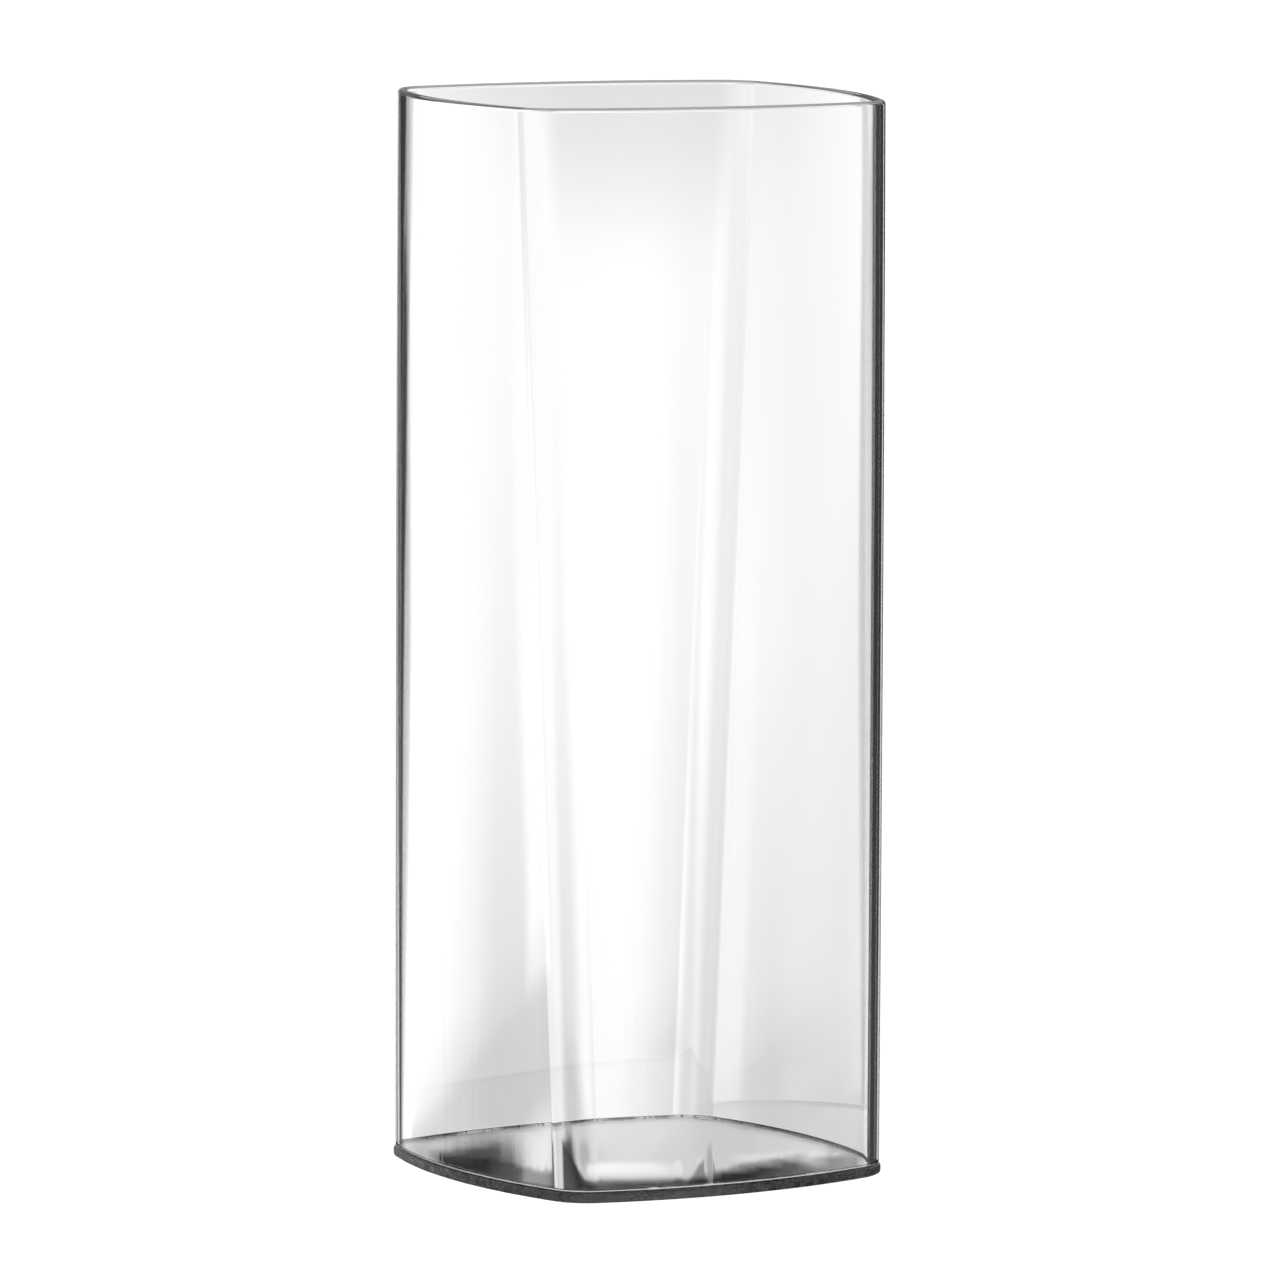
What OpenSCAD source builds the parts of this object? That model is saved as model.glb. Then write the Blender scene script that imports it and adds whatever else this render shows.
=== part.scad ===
// Tall clear glass vase of soft square section.
// A twisted, slightly flared sleeve stands on a ground base plate and is held to it by a clear
// bond. The origin is on the table under the vase's axis, and +Z is up.
// At the foot, the flats of the section face along X and Y.

/* [Vase] */
// Height from the table to the top of the rim
vase_height = 300; // [200:5:400]
// Width across two opposite sides, at the sleeve's foot
foot_width = 118; // [90:1:160]
// How far the middle of each side bows out, over the full width of the side
side_bow = 12; // [8:0.5:20]
// Radius of the four soft corners, at the foot
corner_radius = 14; // [8:0.5:24]
// Turn of the rim against the foot, clockwise seen from above
wall_twist = 9; // [0:1:30]
// Growth of the section from the foot to the rim, in percent
wall_flare = 4; // [0:0.5:8]

/* [Glass] */
// Wall thickness of the sleeve, whose rim is melted to a full round
wall = 2.5; // [2:0.1:4]
// Rounding of the outer edge of the sleeve's foot
foot_rounding = 0.4; // [0.4:0.1:1.2]
// Thickness of the base plate
plate_thickness = 3; // [3:0.5:12]
// How far the plate's edge stands proud of the sleeve's foot
plate_proud = 0.5; // [0:0.1:1]
// Radius of the plate's ground edges
plate_edge_radius = 1; // [0.3:0.1:1.4]

/* [Bond] */
// Thickness of the clear bond under the sleeve's foot
bond_thickness = 0.2; // [0.1:0.05:0.4]
// Leg of the bond's fillet in the corner between the plate and the inner wall
fillet_leg = 0.5; // [0.3:0.1:4]

/* [Smoothness] */
// Steps along each bowed side
side_steps = 12; // [6:1:14]
// Steps round each corner
corner_steps = 10; // [6:1:12]
// Steps up the wall, from the foot to the rim
wall_steps = 16; // [8:1:18]
// Steps round a quarter of each small edge
edge_steps = 4; // [2:1:5]

/* [Hidden] */

// The sleeve stands on the bond, and the bond on the plate
foot_z = plate_thickness + bond_thickness;
fillet_z = plate_thickness + fillet_leg;
edge_ring_width = 2;
rim_radius = wall / 2;
rim_z = vase_height - rim_radius;

// Each side is an arc, centred beyond the axis
side_radius = (pow(foot_width / 2, 2) + pow(side_bow, 2)) / (2 * side_bow);
side_centre = foot_width / 2 - side_radius;

// Each corner is an arc tangent to its two sides, centred equally far from both mid-planes
inner_reach = side_radius - corner_radius;
corner_centre = (side_centre + sqrt(2 * pow(inner_reach, 2) - pow(side_centre, 2))) / 2;

// Half the angle that a side spans, and the whole angle of a corner
side_angle = atan2(corner_centre, corner_centre - side_centre);
corner_angle = 90 - 2 * side_angle;

// Directions of the outline's outward normal: one side and one corner, repeated four times
quarter_normals = [
    for (i = [0 : side_steps - 1]) side_angle * (2 * i / side_steps - 1),
    for (i = [0 : corner_steps - 1]) side_angle + corner_angle * i / corner_steps
];
normals = [for (quarter = [0 : 3], angle = quarter_normals) [90 * quarter, angle]];

// How far up the sleeve a height is, from 0 at the foot to 1 at the rim
function rise(z) = max(0, z - foot_z) / (vase_height - foot_z);

// Arc with this outward normal: the x and y of its centre, and its radius
function arc_at(angle) =
    angle < side_angle
        ? [side_centre, 0, side_radius]
        : [corner_centre, corner_centre, corner_radius];

// Point of the outline at height z, moved straight inwards by inset
function outline_point(normal, inset, z) =
    let (
        growth = 1 + wall_flare / 100 * rise(z),
        turn = normal[0] - wall_twist * rise(z),
        arc = growth * arc_at(normal[1]),
        x = arc[0] + (arc[2] - inset) * cos(normal[1]),
        y = arc[1] + (arc[2] - inset) * sin(normal[1])
    )
    [x * cos(turn) - y * sin(turn), x * sin(turn) + y * cos(turn), z];

// Profile points, each [inset, z], round a quarter circle from one direction to the next.
// Directions are counted from the outside, and turn upwards.
function edge(centre, radius, from, to) = [
    for (i = [0 : edge_steps])
        let (angle = from + (to - from) * i / edge_steps)
        [centre[0] - radius * cos(angle), centre[1] + radius * sin(angle)]
];

// Profile points up or down a wall at one inset
function wall_line(inset, from_z, to_z) = [
    for (i = [1 : wall_steps - 1]) [inset, from_z + (to_z - from_z) * i / wall_steps]
];

// Ring swept round the axis by a closed profile that runs up outside and down inside
module twisted_ring(profile) {
    rows = len(profile);
    count = len(normals);
    points = [for (place = profile, normal = normals) outline_point(normal, place[0], place[1])];
    faces = [
        for (row = [0 : rows - 1], i = [0 : count - 1])
            let (
                low = row * count,
                high = (row + 1) % rows * count,
                next = (i + 1) % count
            )
            each [
                [low + i, high + i, high + next],
                [low + i, high + next, low + next]
            ]
    ];
    polyhedron(points, faces, convexity = 6);
}

// Twisted wall of the vase, with a melted rim and a softened foot
module wall_sleeve() {
    profile = concat(
        edge([foot_rounding, foot_z + foot_rounding], foot_rounding, -90, 0),
        wall_line(0, foot_z + foot_rounding, rim_z),
        edge([rim_radius, rim_z], rim_radius, 0, 90),
        edge([rim_radius, rim_z], rim_radius, 90 + 90 / edge_steps, 180),
        wall_line(wall, rim_z, fillet_z),
        [[wall, fillet_z], [wall, foot_z]]
    );
    color("Gainsboro", 0.4) twisted_ring(profile);
}

// Floor of the vase, ground to a soft edge that stands a little proud of the wall.
// The flat slab reaches halfway into the ring that carries the edge.
module base_plate() {
    edge_inset = plate_edge_radius - plate_proud;
    slab_outline = [
        for (normal = normals)
            let (point = outline_point(normal, edge_inset + edge_ring_width / 2, 0))
            [point[0], point[1]]
    ];
    profile = concat(
        edge([edge_inset, plate_edge_radius], plate_edge_radius, -90, 0),
        edge([edge_inset, plate_thickness - plate_edge_radius], plate_edge_radius, 0, 90),
        [[edge_inset + edge_ring_width, plate_thickness], [edge_inset + edge_ring_width, 0]]
    );
    color("DarkGray", 0.6) {
        linear_extrude(plate_thickness) polygon(slab_outline);
        twisted_ring(profile);
    }
}

// Clear bond: a film under the sleeve's foot and a hollow fillet inside the wall
module bond_bead() {
    profile = concat(
        [[foot_rounding, plate_thickness], [foot_rounding, foot_z], [wall, foot_z]],
        [for (i = [0 : edge_steps])
            let (angle = 90 * i / edge_steps)
            [wall + fillet_leg * (1 - cos(angle)), fillet_z - fillet_leg * sin(angle)]]
    );
    color("WhiteSmoke", 0.6) twisted_ring(profile);
}

wall_sleeve();
base_plate();
bond_bead();
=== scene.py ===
import math
import bpy
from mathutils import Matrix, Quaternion, Vector, noise


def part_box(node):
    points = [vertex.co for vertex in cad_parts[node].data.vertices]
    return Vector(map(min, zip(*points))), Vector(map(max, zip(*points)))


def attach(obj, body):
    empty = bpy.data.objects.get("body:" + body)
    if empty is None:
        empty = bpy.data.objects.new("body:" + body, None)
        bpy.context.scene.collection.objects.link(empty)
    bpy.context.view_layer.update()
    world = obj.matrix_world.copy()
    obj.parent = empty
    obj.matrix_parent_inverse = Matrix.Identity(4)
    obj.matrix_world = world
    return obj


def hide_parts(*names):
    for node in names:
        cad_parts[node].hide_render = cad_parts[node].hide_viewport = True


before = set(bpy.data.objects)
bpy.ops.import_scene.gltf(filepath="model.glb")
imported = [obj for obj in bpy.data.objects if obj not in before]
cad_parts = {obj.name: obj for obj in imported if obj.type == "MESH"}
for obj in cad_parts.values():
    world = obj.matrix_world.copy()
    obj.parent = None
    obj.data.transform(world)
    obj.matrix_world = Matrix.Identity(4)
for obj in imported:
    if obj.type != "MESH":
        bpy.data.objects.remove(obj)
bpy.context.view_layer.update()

MM = 0.001

# The vase's driving dimensions, as in the CAD model
SIDE_BOW = 12 * MM
CORNER_RADIUS = 14 * MM
WALL_TWIST = math.radians(9)
WALL_FLARE = 0.04
WALL = 2.5 * MM
FOOT_ROUNDING = 0.4 * MM
PLATE_PROUD = 0.5 * MM
PLATE_EDGE_RADIUS = 1 * MM
FILLET_LEG = 0.5 * MM

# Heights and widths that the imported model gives
_, plate_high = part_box("base_plate")
sleeve_low, sleeve_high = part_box("wall_sleeve")
plate_z = plate_high[2]
foot_z = sleeve_low[2]
rim_z = sleeve_high[2]
half_width = plate_high[0] - PLATE_PROUD

# How far the upright glass faces stand in from their CAD faces, and the gap over and under the
# bond, so that neighbours don't share a face
SKIN = 0.05 * MM
BOND_GAP = 0.03 * MM

# Slow waves of the sleeve's two faces, each (size, depth), and how much longer they are upwards
OUTER_WAVES = (24 * MM, 0.03 * MM)
INNER_WAVES = (30 * MM, 0.06 * MM)
WAVE_STRETCH = 4

# Grinding marks in the plate's edge: how deep they go, the sizes of the coarse and the fine ones,
# the weight of the fine ones, and the contrast of both together
GRIND_DEPTH = 0.18 * MM
COARSE_MARKS = 3 * MM
FINE_MARKS = 0.9 * MM
FINE_WEIGHT = 0.6
GRIND_CONTRAST = 0.7

# Where the painted shade round the plate is strongest, each (direction, half width, share), in
# degrees, and how steeply that grows towards the middle
SHADED_SIDES = [(101, 34, 0.9), (196, 34, 1), (283, 40, 0.15), (13, 40, 0.15)]
SHADE_GAIN = 1.3

# Painted shade under the plate, a dark film that stands in for the shade under the plate and along
# its edge: how far in it reaches where it is weakest, how much farther where it is strongest, how
# far it fades out, the size and share of its uneven front, and the least of it that the edge
# carries.
SHADE_REACH = 8 * MM
SHADE_EXTRA = 14 * MM
SHADE_FADE = 9 * MM
SHADE_PATCHES = 9 * MM
SHADE_UNEVENNESS = 0.5
EDGE_SHADE = 0.45

# Rings of the plate's two faces, as shares of the way from the axis to the edge, and where the
# ground zone of the upper face starts
PLATE_RINGS = [
    0.02, 0.3, 0.5, 0.62, 0.7, 0.76, 0.81, 0.85, 0.88, 0.91, 0.935, 0.955, 0.97, 0.985
]
GROUND_START = 0.96
GROUND_FADE = 0.02

# Distance from an edge to the row of vertices that keeps its smooth shading tight
SUPPORT = 0.08 * MM

# Mesh steps
SIDE_STEPS = 28
CORNER_STEPS = 22
WALL_ROWS = 110
EDGE_STEPS = 8
PLATE_ROWS = 6


def smooth(x):
    """Soft step from 0 to 1, as x goes from 0 to 1."""
    x = min(1, max(0, x))
    return x * x * (3 - 2 * x)


def angle_between(a, b):
    """Angle between two directions, all in degrees, from 0 to 180."""
    return abs((a - b + 180) % 360 - 180)


# ---------------------------------------------------------------- outline

side_radius = (half_width ** 2 + SIDE_BOW ** 2) / (2 * SIDE_BOW)
side_centre = half_width - side_radius
inner_reach = side_radius - CORNER_RADIUS
corner_centre = (side_centre + math.sqrt(2 * inner_reach ** 2 - side_centre ** 2)) / 2
side_angle = math.atan2(corner_centre, corner_centre - side_centre)
corner_angle = math.pi / 2 - 2 * side_angle


def outline_normals():
    """Quarter turn and local normal angle of each point round the outline."""
    for quarter in range(4):
        for i in range(SIDE_STEPS):
            yield quarter * math.pi / 2, side_angle * (2 * i / SIDE_STEPS - 1)
        for i in range(CORNER_STEPS):
            yield quarter * math.pi / 2, side_angle + corner_angle * i / CORNER_STEPS


NORMALS = list(outline_normals())


def rise(z):
    """How far up the sleeve a height is, from 0 at the foot to 1 at the rim."""
    return max(0.0, z - foot_z) / (rim_z - foot_z)


def outline_point(normal, inset, z):
    """Point of the outline at height z, moved straight inwards by inset."""
    quarter, angle = normal
    growth = 1 + WALL_FLARE * rise(z)
    turn = quarter - WALL_TWIST * rise(z)
    if angle < side_angle:
        centre, radius = Vector((side_centre, 0)), side_radius
    else:
        centre, radius = Vector((corner_centre, corner_centre)), CORNER_RADIUS
    reach = radius * growth - inset
    x = centre.x * growth + reach * math.cos(angle)
    y = centre.y * growth + reach * math.sin(angle)
    return Vector((
        x * math.cos(turn) - y * math.sin(turn),
        x * math.sin(turn) + y * math.cos(turn),
        z,
    ))


def edge(centre, radius, start, end, steps=EDGE_STEPS):
    """Profile points, each (inset, z), round an arc. Angles count from the outside, upwards."""
    points = []
    for i in range(steps + 1):
        angle = math.radians(start + (end - start) * i / steps)
        points.append((centre[0] - radius * math.cos(angle), centre[1] + radius * math.sin(angle)))
    return points


def line(start, end, steps):
    """Profile points between two points, both left out."""
    return [
        (start[0] + (end[0] - start[0]) * i / steps, start[1] + (end[1] - start[1]) * i / steps)
        for i in range(1, steps)
    ]


# ---------------------------------------------------------------- meshes

def new_piece(name, points, faces, node, material):
    """Smooth-shaded piece that stands for one CAD node."""
    mesh = bpy.data.meshes.new(name)
    mesh.from_pydata(points, [], faces)
    mesh.shade_smooth()
    mesh.update()
    piece = bpy.data.objects.new(name, mesh)
    bpy.context.collection.objects.link(piece)
    mesh.materials.append(material)
    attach(piece, "root")
    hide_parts(node)
    # The photo's ground is pure white, so the glass neither shades it nor shines on it
    piece.visible_shadow = False
    piece.visible_diffuse = False
    return piece


def ring_faces(rows, closed):
    """Faces between rows of points round the outline, where a closed profile joins its ends."""
    count = len(NORMALS)
    faces = []
    for row in range(rows if closed else rows - 1):
        low, high = row * count, (row + 1) % rows * count
        for i in range(count):
            j = (i + 1) % count
            faces.append((low + i, low + j, high + j, high + i))
    return faces


def wavy(point, size, amount):
    """Slow unevenness, from 0 to amount, stretched along the height as drawn glass has it."""
    sample = Vector((point.x / size, point.y / size, point.z / (WAVE_STRETCH * size)))
    return amount * (0.5 + 0.5 * noise.noise(sample))


def sleeve_profile():
    """Closed profile of the sleeve: up outside, over the melted rim, and down inside."""
    arc_top, shoulder = foot_z + FOOT_ROUNDING, rim_z - WALL / 2
    profile = edge((FOOT_ROUNDING, arc_top), FOOT_ROUNDING, -90, 0)
    profile += [(0, arc_top + SUPPORT)]
    profile += line((0, arc_top), (0, shoulder), WALL_ROWS)
    profile += [(0, shoulder - SUPPORT)]
    profile += edge((WALL / 2, shoulder), WALL / 2, 0, 180, 3 * EDGE_STEPS)
    profile += [(WALL, shoulder - SUPPORT)]
    profile += line((WALL, shoulder), (WALL, foot_z), WALL_ROWS)
    return profile + [(WALL, foot_z + SUPPORT), (WALL, foot_z), (WALL - SUPPORT, foot_z)]


def make_sleeve(material):
    """Twisted wall of drawn glass, a little uneven outside and inside."""
    profile = sleeve_profile()
    # The inner face takes its waves from another part of the noise, so that the two differ
    elsewhere = Vector((0, 0, 1))
    points = []
    for inset, z in profile:
        depth = min(1, max(0, inset / WALL))
        for normal in NORMALS:
            base = outline_point(normal, inset, z)
            outer = SKIN + wavy(base, *OUTER_WAVES)
            inner = SKIN + wavy(base + elsewhere, *INNER_WAVES)
            moved = inset + outer * (1 - depth) + inner * depth
            points.append(outline_point(normal, moved, z))
    faces = ring_faces(len(profile), True)
    new_piece("sleeve_glass", points, faces, "wall_sleeve", material)


def plate_edge_profile(inset):
    """Profile of the plate's edge, from its underside up to its upper face."""
    low, high = PLATE_EDGE_RADIUS, plate_z - PLATE_EDGE_RADIUS
    profile = edge((inset, low), PLATE_EDGE_RADIUS, -90, 0)
    profile += line((-PLATE_PROUD, low), (-PLATE_PROUD, high), PLATE_ROWS)
    return profile + edge((inset, high), PLATE_EDGE_RADIUS, 0, 90)


def plate_rows():
    """Rings of the plate, with how ground each point is and how much painted shade it carries, from
    below to above.
    """
    inset = PLATE_EDGE_RADIUS - PLATE_PROUD
    rows, grounds, films = [], [], []
    for share in PLATE_RINGS:
        row = [outline_point(n, inset, 0) * share for n in NORMALS]
        rows.append(row)
        grounds.append([0] * len(row))
        films.append([film_under(point, share) for point in row])
    for edge_inset, z in plate_edge_profile(inset):
        row = []
        for normal in NORMALS:
            point = outline_point(normal, edge_inset, z)
            chips = GRIND_DEPTH * grind(point) if 0 < z < plate_z else 0
            row.append(outline_point(normal, edge_inset + SKIN + chips, z))
        rows.append(row)
        grounds.append([1] * len(row))
        # Painted shade on the edge: at least the edge share, more towards the two shaded sides
        films.append([EDGE_SHADE + (1 - EDGE_SHADE) * shade_weight(point) for point in row])
    top = Vector((0, 0, plate_z))
    for share in reversed(PLATE_RINGS):
        rows.append([outline_point(n, inset, 0) * share + top for n in NORMALS])
        grounds.append([smooth((share - GROUND_START) / GROUND_FADE)] * len(NORMALS))
        films.append([0] * len(NORMALS))
    return rows, grounds, films


def make_plate(material):
    """Flat plate with a ground edge. Its two faces are rings that shrink towards the axis."""
    rows, grounds, films = plate_rows()
    points = [point for row in rows for point in row]
    faces = ring_faces(len(rows), False)
    points += [Vector((0, 0, 0)), Vector((0, 0, plate_z))]
    count = len(NORMALS)
    bottom, top = len(points) - 2, len(points) - 1
    last = (len(rows) - 1) * count
    for i in range(count):
        j = (i + 1) % count
        faces.append((bottom, j, i))
        faces.append((top, last + i, last + j))
    plate = new_piece("plate_glass", points, faces, "base_plate", material)
    for name, table in (("ground", grounds), ("film", films)):
        mask = plate.data.attributes.new(name, "FLOAT", "POINT")
        for i, value in enumerate(value for row in table for value in row):
            mask.data[i].value = value


def film_under(point, share):
    """Weight of the painted shade under the plate: deep on two sides, shallow at their corner."""
    depth = point.xy.length * (1 / share - 1)
    uneven = 1 + SHADE_UNEVENNESS * noise.noise(point / SHADE_PATCHES)
    reach = (SHADE_REACH + SHADE_EXTRA * shade_weight(point)) * uneven
    return smooth((reach - depth) / SHADE_FADE)


def shade_weight(point):
    """How strongly the painted shade falls in a direction, from 0 to 1."""
    heading = math.degrees(math.atan2(point.y, point.x))
    amount = 0
    for middle, half_span, share in SHADED_SIDES:
        off = angle_between(heading, middle)
        amount = max(amount, share * smooth(SHADE_GAIN * (1 - off / half_span)))
    return amount


def grind(point):
    """Unevenness of the ground edge, from 0 to 1, coarse and fine together."""
    marks = noise.noise(point / COARSE_MARKS) + FINE_WEIGHT * noise.noise(point / FINE_MARKS)
    return min(1, max(0, 0.5 + GRIND_CONTRAST * marks))


def make_bond(material):
    """Film under the sleeve's foot, and a hollow fillet in the corner inside it."""
    low, high = plate_z + BOND_GAP, foot_z - BOND_GAP
    inner = WALL + 2 * SKIN
    profile = [(FOOT_ROUNDING, low), (FOOT_ROUNDING, high), (inner, high)]
    profile += edge((inner + FILLET_LEG, plate_z + FILLET_LEG), FILLET_LEG - BOND_GAP, 0, -90)
    points = [outline_point(normal, inset, z) for inset, z in profile for normal in NORMALS]
    faces = ring_faces(len(profile), True)
    new_piece("bond_clear", points, faces, "bond_bead", material)


# ---------------------------------------------------------------- materials

GLASS_IOR = 1.52
BOND_IOR = 1.49

# Stretch of a noise that is the same in every direction
EVEN = (1, 1, 1)


def nodes_of(name):
    """New material, with its nodes, its links and its shader."""
    material = bpy.data.materials.new(name)
    material.use_nodes = True
    tree = material.node_tree
    return material, tree.nodes, tree.links, tree.nodes["Principled BSDF"]


def glass(name, tint, density, ior=GLASS_IOR):
    """Clear glass with an absorbing body."""
    material, nodes, links, shader = nodes_of(name)
    shader.inputs["Base Color"].default_value = (1, 1, 1, 1)
    shader.inputs["Transmission Weight"].default_value = 1
    shader.inputs["IOR"].default_value = ior
    absorb = nodes.new("ShaderNodeVolumeAbsorption")
    absorb.inputs["Color"].default_value = (tint, tint, tint, 1)
    absorb.inputs["Density"].default_value = density
    links.new(absorb.outputs["Volume"], nodes["Material Output"].inputs["Volume"])
    return material, nodes, links, shader


def place(nodes, links, stretch):
    """Object position, scaled per axis."""
    coordinates = nodes.new("ShaderNodeTexCoord")
    mapping = nodes.new("ShaderNodeMapping")
    mapping.inputs["Scale"].default_value = stretch
    links.new(coordinates.outputs["Object"], mapping.inputs["Vector"])
    return mapping.outputs["Vector"]


def noise_node(nodes, links, stretch, scale, detail):
    """Noise from 0 to 1, whose scale counts its grains per metre."""
    node = nodes.new("ShaderNodeTexNoise")
    node.inputs["Scale"].default_value = scale
    node.inputs["Detail"].default_value = detail
    links.new(place(nodes, links, stretch), node.inputs["Vector"])
    return node.outputs["Fac"]


def attribute_node(nodes, name):
    """Value that the mesh carries at each point."""
    node = nodes.new("ShaderNodeAttribute")
    node.attribute_name = name
    return node.outputs["Fac"]


def spread(nodes, links, value, low, high, start=0.0, end=1.0):
    """Map a value from the range start..end to low..high."""
    node = nodes.new("ShaderNodeMapRange")
    node.inputs["From Min"].default_value = start
    node.inputs["From Max"].default_value = end
    node.inputs["To Min"].default_value = low
    node.inputs["To Max"].default_value = high
    links.new(value, node.inputs["Value"])
    return node.outputs["Result"]


def math_node(nodes, links, operation, a, b):
    """Result of an operation on two values, each a number or a node's output."""
    node = nodes.new("ShaderNodeMath")
    node.operation = operation
    for socket, value in zip(node.inputs, (a, b)):
        if isinstance(value, float):
            socket.default_value = value
        else:
            links.new(value, socket)
    return node.outputs["Value"]


def bump(nodes, links, shader, height, distance):
    """Relief in the shading, distance metres deep."""
    node = nodes.new("ShaderNodeBump")
    node.inputs["Strength"].default_value = 1
    node.inputs["Distance"].default_value = distance
    links.new(height, node.inputs["Height"])
    links.new(node.outputs["Normal"], shader.inputs["Normal"])


def clear_glass():
    """Drawn glass: faint upright striae, and a breath of haze here and there."""
    material, nodes, links, shader = glass("clear_glass", tint=0.8, density=18)
    striae = noise_node(nodes, links, stretch=(1, 1, 0.06), scale=160, detail=3)
    bump(nodes, links, shader, striae, distance=0.006 * MM)
    haze = noise_node(nodes, links, stretch=(1, 1, 0.5), scale=14, detail=4)
    rough = spread(nodes, links, haze, low=0.0, high=0.03, start=0.5, end=0.8)
    links.new(rough, shader.inputs["Roughness"])
    return material


def base_glass():
    """Clear faces and a ground edge, with painted shade, told apart by the "ground" and "film"
    attributes.
    """
    material, nodes, links, shader = glass("base_glass", tint=0.8, density=60)
    ground = attribute_node(nodes, "ground")
    grain = noise_node(nodes, links, stretch=EVEN, scale=1400, detail=5)
    patches = noise_node(nodes, links, stretch=(1, 1, 1.5), scale=220, detail=3)
    coarse = spread(nodes, links, patches, low=0.05, high=0.75, start=0.35, end=0.65)
    fine = spread(nodes, links, grain, low=-0.1, high=0.2)
    rough = math_node(nodes, links, "ADD", coarse, fine)
    links.new(math_node(nodes, links, "MULTIPLY", ground, rough), shader.inputs["Roughness"])
    # Painted shade: a streaky dark tint, by the mesh's shade weight, where shade falls under the
    # plate
    film = attribute_node(nodes, "film")
    streaks = noise_node(nodes, links, stretch=EVEN, scale=420, detail=6)
    dark = spread(nodes, links, streaks, low=1.0, high=0.35, start=0.4, end=0.68)
    painted_shade = math_node(nodes, links, "MULTIPLY", film, dark)
    links.new(math_node(nodes, links, "SUBTRACT", 1.0, painted_shade), shader.inputs["Base Color"])
    relief = math_node(nodes, links, "MULTIPLY", ground, grain)
    bump(nodes, links, shader, relief, distance=0.25 * MM)
    return material


def clear_bond():
    """Cured clear adhesive, with small bubbles in it and grey dust caught on it."""
    material, nodes, links, shader = glass("clear_bond", tint=0.7, density=60, ior=BOND_IOR)
    cells = nodes.new("ShaderNodeTexVoronoi")
    cells.inputs["Scale"].default_value = 900
    links.new(place(nodes, links, EVEN), cells.inputs["Vector"])
    bubble = spread(nodes, links, cells.outputs["Distance"], low=1.0, high=0.0, start=0.1, end=0.35)
    bump(nodes, links, shader, bubble, distance=0.15 * MM)
    film = noise_node(nodes, links, stretch=EVEN, scale=90, detail=4)
    rough = spread(nodes, links, film, low=0.0, high=0.25, start=0.4, end=0.7)
    links.new(rough, shader.inputs["Roughness"])
    grey = spread(nodes, links, film, low=0.55, high=0.15, start=0.35, end=0.65)
    links.new(grey, shader.inputs["Base Color"])
    return material


# ---------------------------------------------------------------- stage

# The floor lies a hair under the plate, so that the two faces don't coincide. It is seen directly
# only: the glass shows the surround in its place.
FLOOR_GAP = 0.1 * MM
FLOOR_RADIUS = 9
FLOOR_GREY = 0.9
STUDIO_LIGHT = 1.25

CAMERA_AZIMUTH = math.radians(-121)
CAMERA_ELEVATION = math.radians(6.49)
CAMERA_DISTANCE = 2.907
CAMERA_ROLL = math.radians(0.2)
LENS = 293.2
SENSOR_WIDTH = 36

# How far the camera aims to the right of the vase's middle, and how far under it
AIM_RIGHT = 0.73 * MM
AIM_DOWN = 2.45 * MM

# Clear glass shows only what stands round it. So a glowing wall surrounds the set, with soft
# panels and spots placed for the lines and the shading seen from the photo's angle.
# A heading is in degrees from straight behind the vase, counted to the left, and each panel gives
# its two edges and its brightness at three levels.
# Level 0 is seen through the vase's foot, and level 1 through its rim.
LEVELS = (0.12, 0.5, 0.92)
BACKGROUND = ((0.95,), (1.03,), (1.0,))
PANELS = [
    # name, soft edge, (from, to, brightness) low, middle and high
    ("front_box", 12, (142, 222, 1.6), (142, 219, 1.4), (142, 216, 1.3)),
    ("near_left", 3, (7, 16.5, 1.5), (7, 16, 1.3), (7, 12.5, 0.8)),
    ("left_flag", 3, (16.5, 34, 0.05), (16.5, 34, 0.05), (13, 25, 0.05)),
    ("left_box", 8, (35, 72, 1.4), (36, 72, 1.1), (27, 78, 1.3)),
    ("left_dark", 4, (98, 106, 0.1), (89, 99, 0.1), (82, 92, 0.3)),
    ("left_strip", 2, (86, 95, 2.8), (79, 87, 1.5), (74, 80, 1.2)),
    ("left_front", 6, (106, 136, 0.93), (100, 134, 0.93), (94, 142, 0.9)),
    ("right_flag", 4, (-88, -18, 0.05), (-86, -16, 0.04), (-80, -15, 0.05)),
    ("right_top", 6, (-98, -88, 0.5), (-98, -86, 0.8), (-98, -80, 0.9)),
    ("right_box", 6, (-121, -104, 1.2), (-124, -102, 1.2), (-124, -102, 0.6)),
    ("card_left", 1.4, (1.2, 3.2, 0.69), (1.4, 2.8, 0.9), (1.2, 1.9, 1.0)),
    ("card_right", 0.9, (-1.3, -0.1, 0.72), (-0.9, -0.3, 0.86), (-0.8, -0.5, 0.93)),
    ("card_corner", 2, (-6, -1.5, 0.7), (-6, -2, 0.85), (-6, -2, 0.9)),
]

# Soft spots, each with the middle and half width of its heading, the middle and half height of
# its level, how soft its edge is, and its brightness
SPOTS = [
    ("top_shade", -0.1, 2.2, 1.04, 0.14, 1.4, 0.72),
    ("front_low", 180, 60, -0.02, 0.09, 0.6, 0.05),
    ("left_low", 70, 45, -0.02, 0.08, 0.7, 0.1),
    ("right_low", -115, 30, -0.02, 0.08, 0.7, 0.1),
    ("pit", 0, 400, -2.0, 1.1, 0.06, 0.3),
    ("pit_open", 166, 45, -2.0, 1.4, 0.3, 0.97),
    ("ceiling", 0, 400, 1.43, 0.13, 0.3, 0.3),
    ("ceiling_far", 0, 400, 2.2, 0.5, 0.1, 0.35),
]

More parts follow.
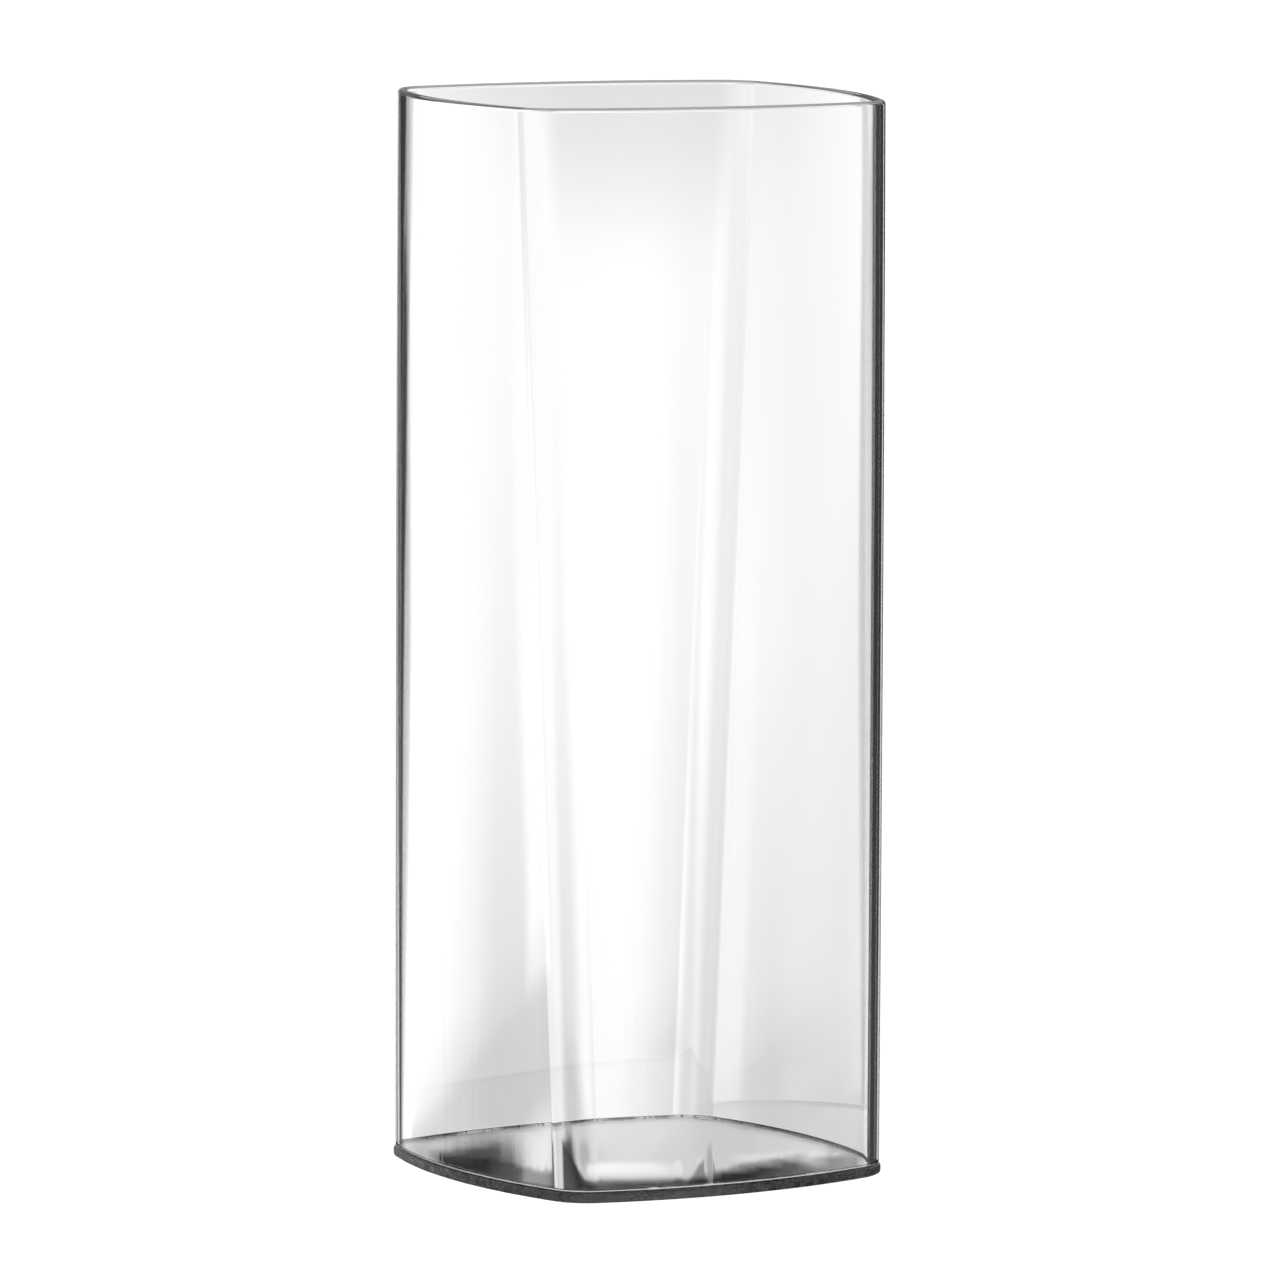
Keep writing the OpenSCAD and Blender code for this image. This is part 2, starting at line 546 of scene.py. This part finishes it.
# What the vase's floor shows. It mirrors one band of the surround's levels and lets another show
# through, so both bands carry this shading. Its spots are as above, but their level runs along
# the floor, from 0 at its back to 1 at its front.
FLOOR_SHADE = 0.72
FLOOR_SPOTS = [
    ("left_dark", 2.7, 0.95, 1.15, 1.0, 0.6, 0.06),
    ("middle_grey", 0.9, 0.5, 0.55, 0.25, 0.8, 0.5),
    ("right_glint", -2.5, 0.7, 0.6, 0.08, 0.6, 0.95),
    ("right_dark", -3.0, 1.7, 1.1, 0.36, 0.4, 0.02),
    ("right_far", -4.2, 0.6, 0.6, 0.35, 0.8, 0.3),
    ("front_dark", 0.1, 2.2, 1.35, 0.4, 0.3, 0.05),
    ("ellipse", 0.1, 0.6, 0.78, 0.13, 0.3, 0.98),
]

# The two bands, each (level at the back of the floor, span of levels from there to its front)
MIRRORED = (1.5856, 0.06)
SEEN_THROUGH = (0.0338, -0.053)

# Where the shading starts along the floor. Mirrored, it starts behind the back. Seen through, it
# starts at the back, and farther forward at the sides, as the floor narrows to its back corner.
MIRRORED_START = -0.6
SEEN_START_AT_SIDES = 0.45
BACK_FLAT = 0.8
BACK_SPREAD = 2

# How softly the shading starts, where it ends along the floor and at its sides, and how softly
BACK_FADE = 0.12
FLOOR_END, END_FADE = 1.85, 0.5
FLOOR_HALF_SPAN, SIDE_FADE = 7, 2

# Dark line along the floor's front. It bows back from FRONT_LINE by FRONT_BOW for each squared
# degree of heading, is thinnest in the middle, and fills the headings between its two ends.
FRONT_SHADE = 0.0
FRONT_LINE = 1.02
FRONT_BOW = 0.026
FRONT_DEPTH = 0.06
FRONT_DEPTH_ADDED = 0.2
FRONT_FLAT = 0.8
FRONT_SPREAD = 1.6
FRONT_LEFT, LEFT_FADE = 3.9, 0.3
FRONT_RIGHT, RIGHT_FADE = -3.3, 0.5
FRONT_FADE = 0.08

# Distance of the surround's wall, how far below it the point lies that closes it underneath, and
# the brightness there
SURROUND_RADIUS = 3.0
PIT_DEPTH = 1
UNDERSIDE_BRIGHTNESS = 0.4

# Rows of the surround, each (lowest level, highest level, steps)
ROW_BANDS = [
    (-2.6, -0.8, 9), (-0.8, -0.06, 12), (-0.06, 0.06, 24), (0.06, 1.56, 30), (1.56, 1.7, 42),
    (1.7, 2.8, 11),
]
# Columns, each (first heading, last heading, steps)
COLUMN_BANDS = [(-8, 8, 160), (8, 40, 64), (40, 320, 280), (320, 352, 64)]


def make_floor():
    """Plain pale floor, which the glass neither shows nor mirrors."""
    bpy.ops.mesh.primitive_circle_add(vertices=96, radius=FLOOR_RADIUS, fill_type="NGON")
    floor = bpy.context.object
    floor.name = "floor"
    material, _, _, shader = nodes_of("pale_floor")
    shader.inputs["Base Color"].default_value = (FLOOR_GREY, FLOOR_GREY, FLOOR_GREY, 1)
    shader.inputs["Roughness"].default_value = 0.9
    shader.inputs["Specular IOR Level"].default_value = 0.0
    floor.data.materials.append(material)
    floor.location.z = -FLOOR_GAP
    floor.visible_transmission = False
    floor.visible_glossy = False


def make_world():
    """Even white studio light."""
    world = bpy.data.worlds.new("studio")
    bpy.context.scene.world = world
    world.use_nodes = True
    background = world.node_tree.nodes["Background"]
    background.inputs["Color"].default_value = (1, 1, 1, 1)
    background.inputs["Strength"].default_value = STUDIO_LIGHT


def make_camera():
    """Camera at the photograph's viewing angle."""
    data = bpy.data.cameras.new("camera")
    data.lens = LENS
    data.sensor_width = SENSOR_WIDTH
    data.clip_start, data.clip_end = 0.05, 40
    camera = bpy.data.objects.new("camera", data)
    bpy.context.collection.objects.link(camera)
    back = Vector((
        math.sin(CAMERA_AZIMUTH) * math.cos(CAMERA_ELEVATION),
        -math.cos(CAMERA_AZIMUTH) * math.cos(CAMERA_ELEVATION),
        math.sin(CAMERA_ELEVATION),
    ))
    right = Vector((math.cos(CAMERA_AZIMUTH), math.sin(CAMERA_AZIMUTH), 0))
    up = back.cross(right)
    aim = Vector((0, 0, rim_z / 2)) + right * AIM_RIGHT - up * AIM_DOWN
    camera.location = aim + back * CAMERA_DISTANCE
    roll = Quaternion((0, 0, 1), CAMERA_ROLL)
    camera.rotation_mode = "QUATERNION"
    camera.rotation_quaternion = back.to_track_quat("Z", "Y") @ roll
    bpy.context.scene.camera = camera


def even_steps(bands):
    """Starts of the even steps that fill each band (low, high, steps)."""
    return [low + (high - low) * i / steps for low, high, steps in bands for i in range(steps)]


def at_level(values, level):
    """Values between the three that a panel gives, each a tuple."""
    upper = 1 if level < LEVELS[1] else 2
    share = (level - LEVELS[upper - 1]) / (LEVELS[upper] - LEVELS[upper - 1])
    share = min(1, max(0, share))
    return [a + (b - a) * share for a, b in zip(values[upper - 1], values[upper])]


def over_spots(value, spots, heading, level):
    """Brightness with the soft oval spots laid over it, one after the other."""
    for _, middle, half_span, centre, half_height, soft, brightness in spots:
        across = angle_between(heading, middle) / half_span
        reach = math.hypot(across, (level - centre) / half_height)
        value += (brightness - value) * smooth((1 + soft / 2 - reach) / soft)
    return value


def at_front(heading, along):
    """Weight of the dark line along the floor's front."""
    front = FRONT_LINE - FRONT_BOW * heading ** 2
    depth = FRONT_DEPTH + FRONT_DEPTH_ADDED * smooth((abs(heading) - FRONT_FLAT) / FRONT_SPREAD)
    inside = smooth((FRONT_LEFT - heading) / LEFT_FADE)
    inside *= smooth((heading - FRONT_RIGHT) / RIGHT_FADE)
    return inside * smooth((along - front + depth) / FRONT_FADE + 0.5)


def floor_brightness(heading, along):
    """Brightness of one place on the vase's floor."""
    shade = over_spots(FLOOR_SHADE, FLOOR_SPOTS, heading, along)
    return shade + (FRONT_SHADE - shade) * at_front(heading, along)


def over_floor(value, heading, level):
    """Brightness with the shading of the vase's floor laid over its two bands."""
    seen_start = SEEN_START_AT_SIDES * smooth((abs(heading) - BACK_FLAT) / BACK_SPREAD)
    for (first, span), start in ((MIRRORED, MIRRORED_START), (SEEN_THROUGH, seen_start)):
        along = (level - first) / span
        weight = smooth((along - start) / BACK_FADE + 1)
        weight *= smooth((FLOOR_END - along) / END_FADE)
        weight *= smooth((FLOOR_HALF_SPAN - abs(heading)) / SIDE_FADE)
        if weight > 0:
            value += (floor_brightness(heading, along) - value) * weight
    return value


def surround_row(headings, level):
    """Brightness of what stands round the vase, at one level."""
    background = at_level(BACKGROUND, level)[0]
    panels = [(soft, *at_level(edges, level)) for _, soft, *edges in PANELS]
    row = []
    for heading in headings:
        value = background
        for soft, start, end, brightness in panels:
            off = angle_between(heading, (start + end) / 2)
            value += (brightness - value) * smooth(((end - start + soft) / 2 - off) / soft)
        value = over_spots(value, SPOTS, heading, level)
        signed = (heading + 180) % 360 - 180
        row.append(over_floor(value, signed, level))
    return row


def glow_material():
    """Light as bright as the mesh's "glow" attribute says."""
    material = bpy.data.materials.new("surround")
    material.use_nodes = True
    material.cycles.emission_sampling = "NONE"
    nodes, links = material.node_tree.nodes, material.node_tree.links
    nodes.clear()
    emit = nodes.new("ShaderNodeEmission")
    out = nodes.new("ShaderNodeOutputMaterial")
    links.new(attribute_node(nodes, "glow"), emit.inputs["Color"])
    links.new(emit.outputs["Emission"], out.inputs["Surface"])
    return material


def make_surround():
    """Glowing wall round the set, which only the glass sees."""
    eye = bpy.context.scene.camera.location
    straight = math.degrees(math.atan2(-eye.y, -eye.x))
    reach = math.hypot(eye.x, eye.y)
    headings, levels = even_steps(COLUMN_BANDS), even_steps(ROW_BANDS)
    steps = len(headings)
    points, faces, values = [], [], []
    for level in levels:
        # The line from the camera through the axis at this height meets the wall at seen_at
        height = level * rim_z
        seen_at = height - SURROUND_RADIUS * (eye.z - height) / reach
        for heading in headings:
            angle = math.radians(straight + heading)
            x, y = SURROUND_RADIUS * math.cos(angle), SURROUND_RADIUS * math.sin(angle)
            points.append((x, y, seen_at))
        values += surround_row(headings, level)
    for row in range(len(levels) - 1):
        for step in range(steps):
            a, b = row * steps + step, row * steps + (step + 1) % steps
            faces.append((a, b, b + steps, a + steps))
    points.append((0, 0, points[0][2] - PIT_DEPTH))
    values.append(UNDERSIDE_BRIGHTNESS)
    for step in range(steps):
        faces.append((len(points) - 1, (step + 1) % steps, step))
    mesh = bpy.data.meshes.new("surround")
    mesh.from_pydata(points, [], faces)
    glow = mesh.attributes.new("glow", "FLOAT", "POINT")
    glow.data.foreach_set("value", values)
    mesh.materials.append(glow_material())
    wall = bpy.data.objects.new("surround", mesh)
    bpy.context.collection.objects.link(wall)
    wall.visible_camera = False
    wall.visible_diffuse = False
    wall.visible_shadow = False
    wall.visible_volume_scatter = False


make_sleeve(clear_glass())
make_plate(base_glass())
make_bond(clear_bond())
make_floor()
make_world()
make_camera()
make_surround()
bpy.context.scene.view_settings.view_transform = "Standard"
